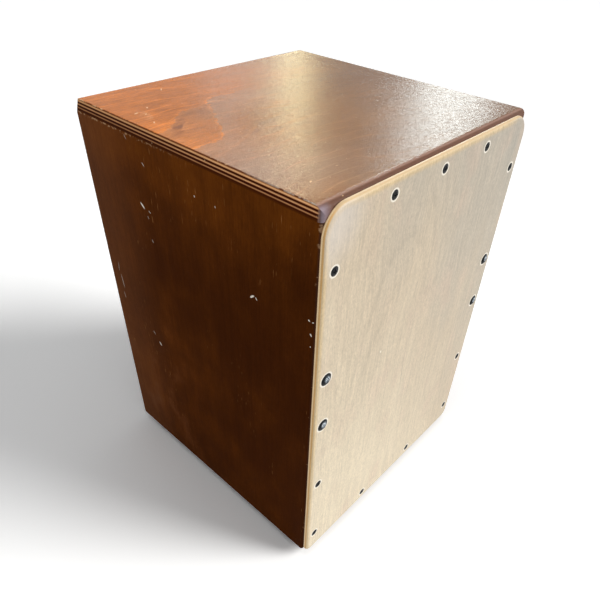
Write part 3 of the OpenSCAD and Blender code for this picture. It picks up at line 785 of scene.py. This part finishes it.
def metal(name, tint, roughness, metallic, wear, gleam=0.5):
    f = Finish(name)
    p = f.join(*f.place())
    spots = f.noise(p, 900, 3.0, 0.6)
    worn = tuple(min(1, c * 2 + 0.03) for c in tint)
    return f.principled({
        "Base Color": f.mix(spots.rise(0.45, 0.7) * wear, tint, worn),
        "Metallic": metallic,
        "Roughness": roughness + spots * 0.15,
        "Specular IOR Level": gleam,
        "Normal": f.bump(spots, 0.00003, 0.4),
    })


dome = {
    "black": ((0.002, 0.003, 0.004), (0.012, 0.014, 0.017)),
    "paintedGlint": ((0.06, 0.09, 0.12), (0.80, 0.86, 0.92)),
    "above": 0.0012,  # how far the painted highlight on the crown sits above the middle
    "crown": (0.0020, 0.0040),
    "ragged": 0.0020,
    "specular": 0.12,
}


def domeFinish(where):  # black heads with a painted highlight of bright steel on their crowns
    f = Finish("blackDome_" + where)
    x, y, z = f.place()
    spots = f.noise(f.join(x, y, z), 900, 3.0, 0.6)
    crown = 0
    for cx, cz in headPlaces("bar_screws_" + where):
        gap = f.apart(abs(x) - cx, z - cz - dome["above"]) + (spots - 0.5) * dome["ragged"]
        crown = gap.fall(*dome["crown"]) + crown
    crown = crown.least(1.0)
    return f.principled({
        "Base Color": f.mix(crown, f.mix(spots, *dome["black"]),
                            f.mix(spots.rise(0.42, 0.58), *dome["paintedGlint"])),
        "Metallic": crown * 0.25,
        "Roughness": 0.42 - crown * 0.16 + spots * 0.08,
        "Specular IOR Level": dome["specular"],
        "Normal": f.bump(spots, 0.00006, 0.5),
    })


blackScrew = metal("blackScrew", colourOf(18, 19, 22), 0.40, 0.3, 0.3, 0.2)
plated = metal("platedSteel", colourOf(196, 198, 202), 0.28, 1.0, 0.3)
for where in ("top", "bottom", "left", "right"):
    dress("plate_screws_" + where, blackScrew)
for where in ("left", "right"):
    dress("bar_screws_" + where, domeFinish(where))
    dress("snare_clip_" + where, plated)
    dress("snare_wires_" + where, plated)
for node in ("snare_clip_screws", "foot_washers", "foot_screws"):
    dress(node, plated)

footFinish = Finish("footRubber")
footSpots = footFinish.noise(footFinish.join(*footFinish.place()), 1800, 2.0)
footRubber = footFinish.principled({
    "Base Color": footFinish.mix(footSpots, colourOf(34, 34, 36), colourOf(52, 52, 54)),
    "Roughness": 0.7 + footSpots * 0.15,
    "Normal": footFinish.bump(footSpots, 0.0001, 0.5),
})
for row in ("front", "rear"):
    for where in ("left", "right"):
        dress("foot_" + row + "_" + where, footRubber)
print("finishes done")


coil = {
    "wires": 10, "gap": 0.004, "length": 0.106, "outer": 0.00105, "wire": 0.0002,
    "turns": 96, "steps": 12, "sides": 5, "spacing": 0.120, "lean": 12,
    "leaf": 0.015, "crimpHeight": 0.005, "crimpDepth": 0.0034, "clipWidth": 0.046,
    "rest": 0.0012,  # from the plate's back to the middle of a wire's end
}


def bake(piece):  # its place and turn go into its mesh
    bpy.ops.object.select_all(action="DESELECT")
    piece.select_set(True)
    bpy.context.view_layer.objects.active = piece
    bpy.ops.object.transform_apply(location=True, rotation=True, scale=True)


def windCoil(side, name):
    bpy.ops.object.select_all(action="DESELECT")
    bpy.ops.mesh.primitive_circle_add(vertices=coil["sides"], radius=coil["wire"],
                                      location=(coil["outer"] - coil["wire"], 0, coil["wire"]),
                                      rotation=(math.pi / 2, 0, 0))
    wire = bpy.context.object
    wire.name = "snareCoils_" + name
    bake(wire)
    wind = wire.modifiers.new("wind", "SCREW")
    wind.axis = "Z"
    wind.angle = math.tau
    wind.screw_offset = (coil["length"] - coil["wire"] * 2) / coil["turns"]
    wind.iterations = coil["turns"]
    wind.steps = coil["steps"]
    wind.render_steps = coil["steps"]
    bpy.ops.object.modifier_apply(modifier=wind.name)
    bpy.ops.object.mode_set(mode="EDIT")
    bpy.ops.mesh.select_all(action="SELECT")
    bpy.ops.mesh.fill_holes(sides=coil["sides"])  # cut ends of the wire
    bpy.ops.mesh.select_all(action="SELECT")
    bpy.ops.mesh.normals_make_consistent(inside=False)
    bpy.ops.object.mode_set(mode="OBJECT")
    bpy.ops.object.shade_smooth_by_angle(angle=math.radians(80))
    copies = [wire]
    for number in range(1, coil["wires"]):
        twin = wire.copy()
        twin.data = wire.data.copy()
        bpy.context.scene.collection.objects.link(twin)
        copies.append(twin)
    for number, piece in enumerate(copies):
        piece.location = ((number - (coil["wires"] - 1) / 2) * coil["gap"], 0, coil["crimpHeight"])
    bpy.ops.object.select_all(action="DESELECT")
    for piece in copies:
        piece.select_set(True)
    bpy.context.view_layer.objects.active = wire
    bpy.ops.object.transform_apply(location=True, rotation=True, scale=True)
    bpy.ops.object.join()

    lean = math.radians(coil["lean"])
    reach = barLow.y - coil["crimpDepth"] / 2 - coil["rest"] - plateHigh.y
    tilt = math.asin(reach / (coil["length"] + coil["crimpHeight"]))
    clipFoot = barHigh.z - coil["leaf"] - coil["clipWidth"] / 2 * math.sin(lean)
    wire.matrix_world = (Matrix.Translation((side * coil["spacing"] / 2, barLow.y, clipFoot))
                         @ Matrix.Rotation(side * lean, 4, "Y")
                         @ Matrix.Translation((0, -coil["crimpDepth"] / 2, coil["leaf"]))
                         @ Matrix.Rotation(tilt, 4, "X"))
    bake(wire)
    wire.data.materials.append(plated)
    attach(wire, "root")
    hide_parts("snare_wires_" + name)
    return wire


for side, name in ((-1, "left"), (1, "right")):
    coils = windCoil(side, name)
